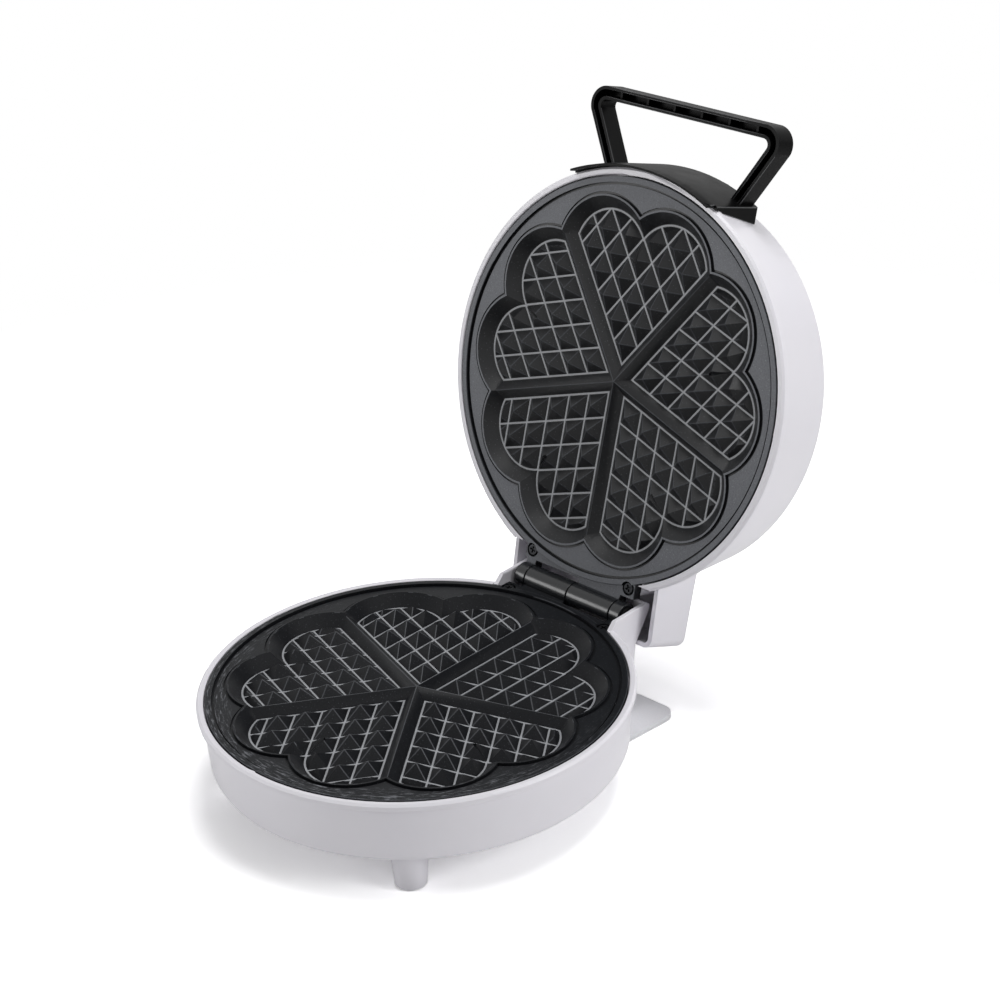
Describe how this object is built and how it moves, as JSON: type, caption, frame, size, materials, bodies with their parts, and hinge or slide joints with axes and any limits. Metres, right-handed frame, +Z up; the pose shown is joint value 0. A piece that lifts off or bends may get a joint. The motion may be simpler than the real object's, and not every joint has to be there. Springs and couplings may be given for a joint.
{
  "type": "waffle maker",
  "caption": "Round electric waffle maker with heart-shaped moulds, hinged halves, white casings and a black loop handle, lid open on its stop.",
  "frame": {"origin": "bottom centre of the bounding box with the lid open, on the surface it stands on", "axes": "+Z up, +Y from the front of the base towards the hinge, +X to the right seen from the front"},
  "size_m": [0.202, 0.3076, 0.2738],
  "materials": {
    "black_plastic": "satin black heat-resistant plastic",
    "black_screw": "blackened steel",
    "ceramic": "glazed ceramic body",
    "fuse_can": "plain can",
    "green_lens": "clear green lens",
    "grey_plastic": "satin light grey plastic",
    "heater_steel": "heater tube with dull oxide",
    "lamp_glass": "neon lamp bulb",
    "nonstick": "dark grey speckled non-stick coating on cast aluminium",
    "red_lens": "clear red lens",
    "reflector_sheet": "rolled sheet",
    "rubber_black": "matte rubber",
    "steel": "bright steel",
    "terminal_plastic": "natural nylon",
    "white_plastic": "semi-gloss moulded white plastic",
    "zinc_screw": "zinc plated steel"
  },
  "bodies": {
    "base": {"base_housing": "white_plastic", "lower_plate": "nonstick", "lower_plate_screws": "black_screw", "lower_element": "heater_steel", "lower_reflector": "reflector_sheet", "lower_reflector_screw": "zinc_screw", "thermostat": "ceramic", "thermal_fuse": "fuse_can", "fuse_clip": "steel", "terminal_block": "terminal_plastic", "cord_gland": "black_plastic", "hinge_pin": "steel", "hinge_cap_left": "black_plastic", "hinge_cap_right": "black_plastic", "rear_stand": "grey_plastic", "stand_screws": "zinc_screw", "front_foot_left": "white_plastic", "front_foot_right": "white_plastic", "foot_screws": "zinc_screw", "front_pad_left": "rubber_black", "front_pad_right": "rubber_black", "rear_pad_left": "rubber_black", "rear_pad_right": "rubber_black"},
    "lid": {"lid_housing": "white_plastic", "upper_plate": "nonstick", "upper_plate_screws": "black_screw", "upper_element": "heater_steel", "upper_reflector": "reflector_sheet", "upper_reflector_screw": "zinc_screw", "lid_fuse": "fuse_can", "lid_fuse_clip": "steel", "handle": "black_plastic", "handle_screws": "zinc_screw", "power_lamp_lens": "red_lens", "ready_lamp_lens": "green_lens", "power_lamp": "lamp_glass", "ready_lamp": "lamp_glass"}
  },
  "joints": [
    {"name": "lid_hinge", "type": "hinge", "parent": "base", "child": "lid", "pos_m": [0, 0.05373, 0.0506], "axis": [1, 0, 0], "range_deg": [0, 107]}
  ]
}
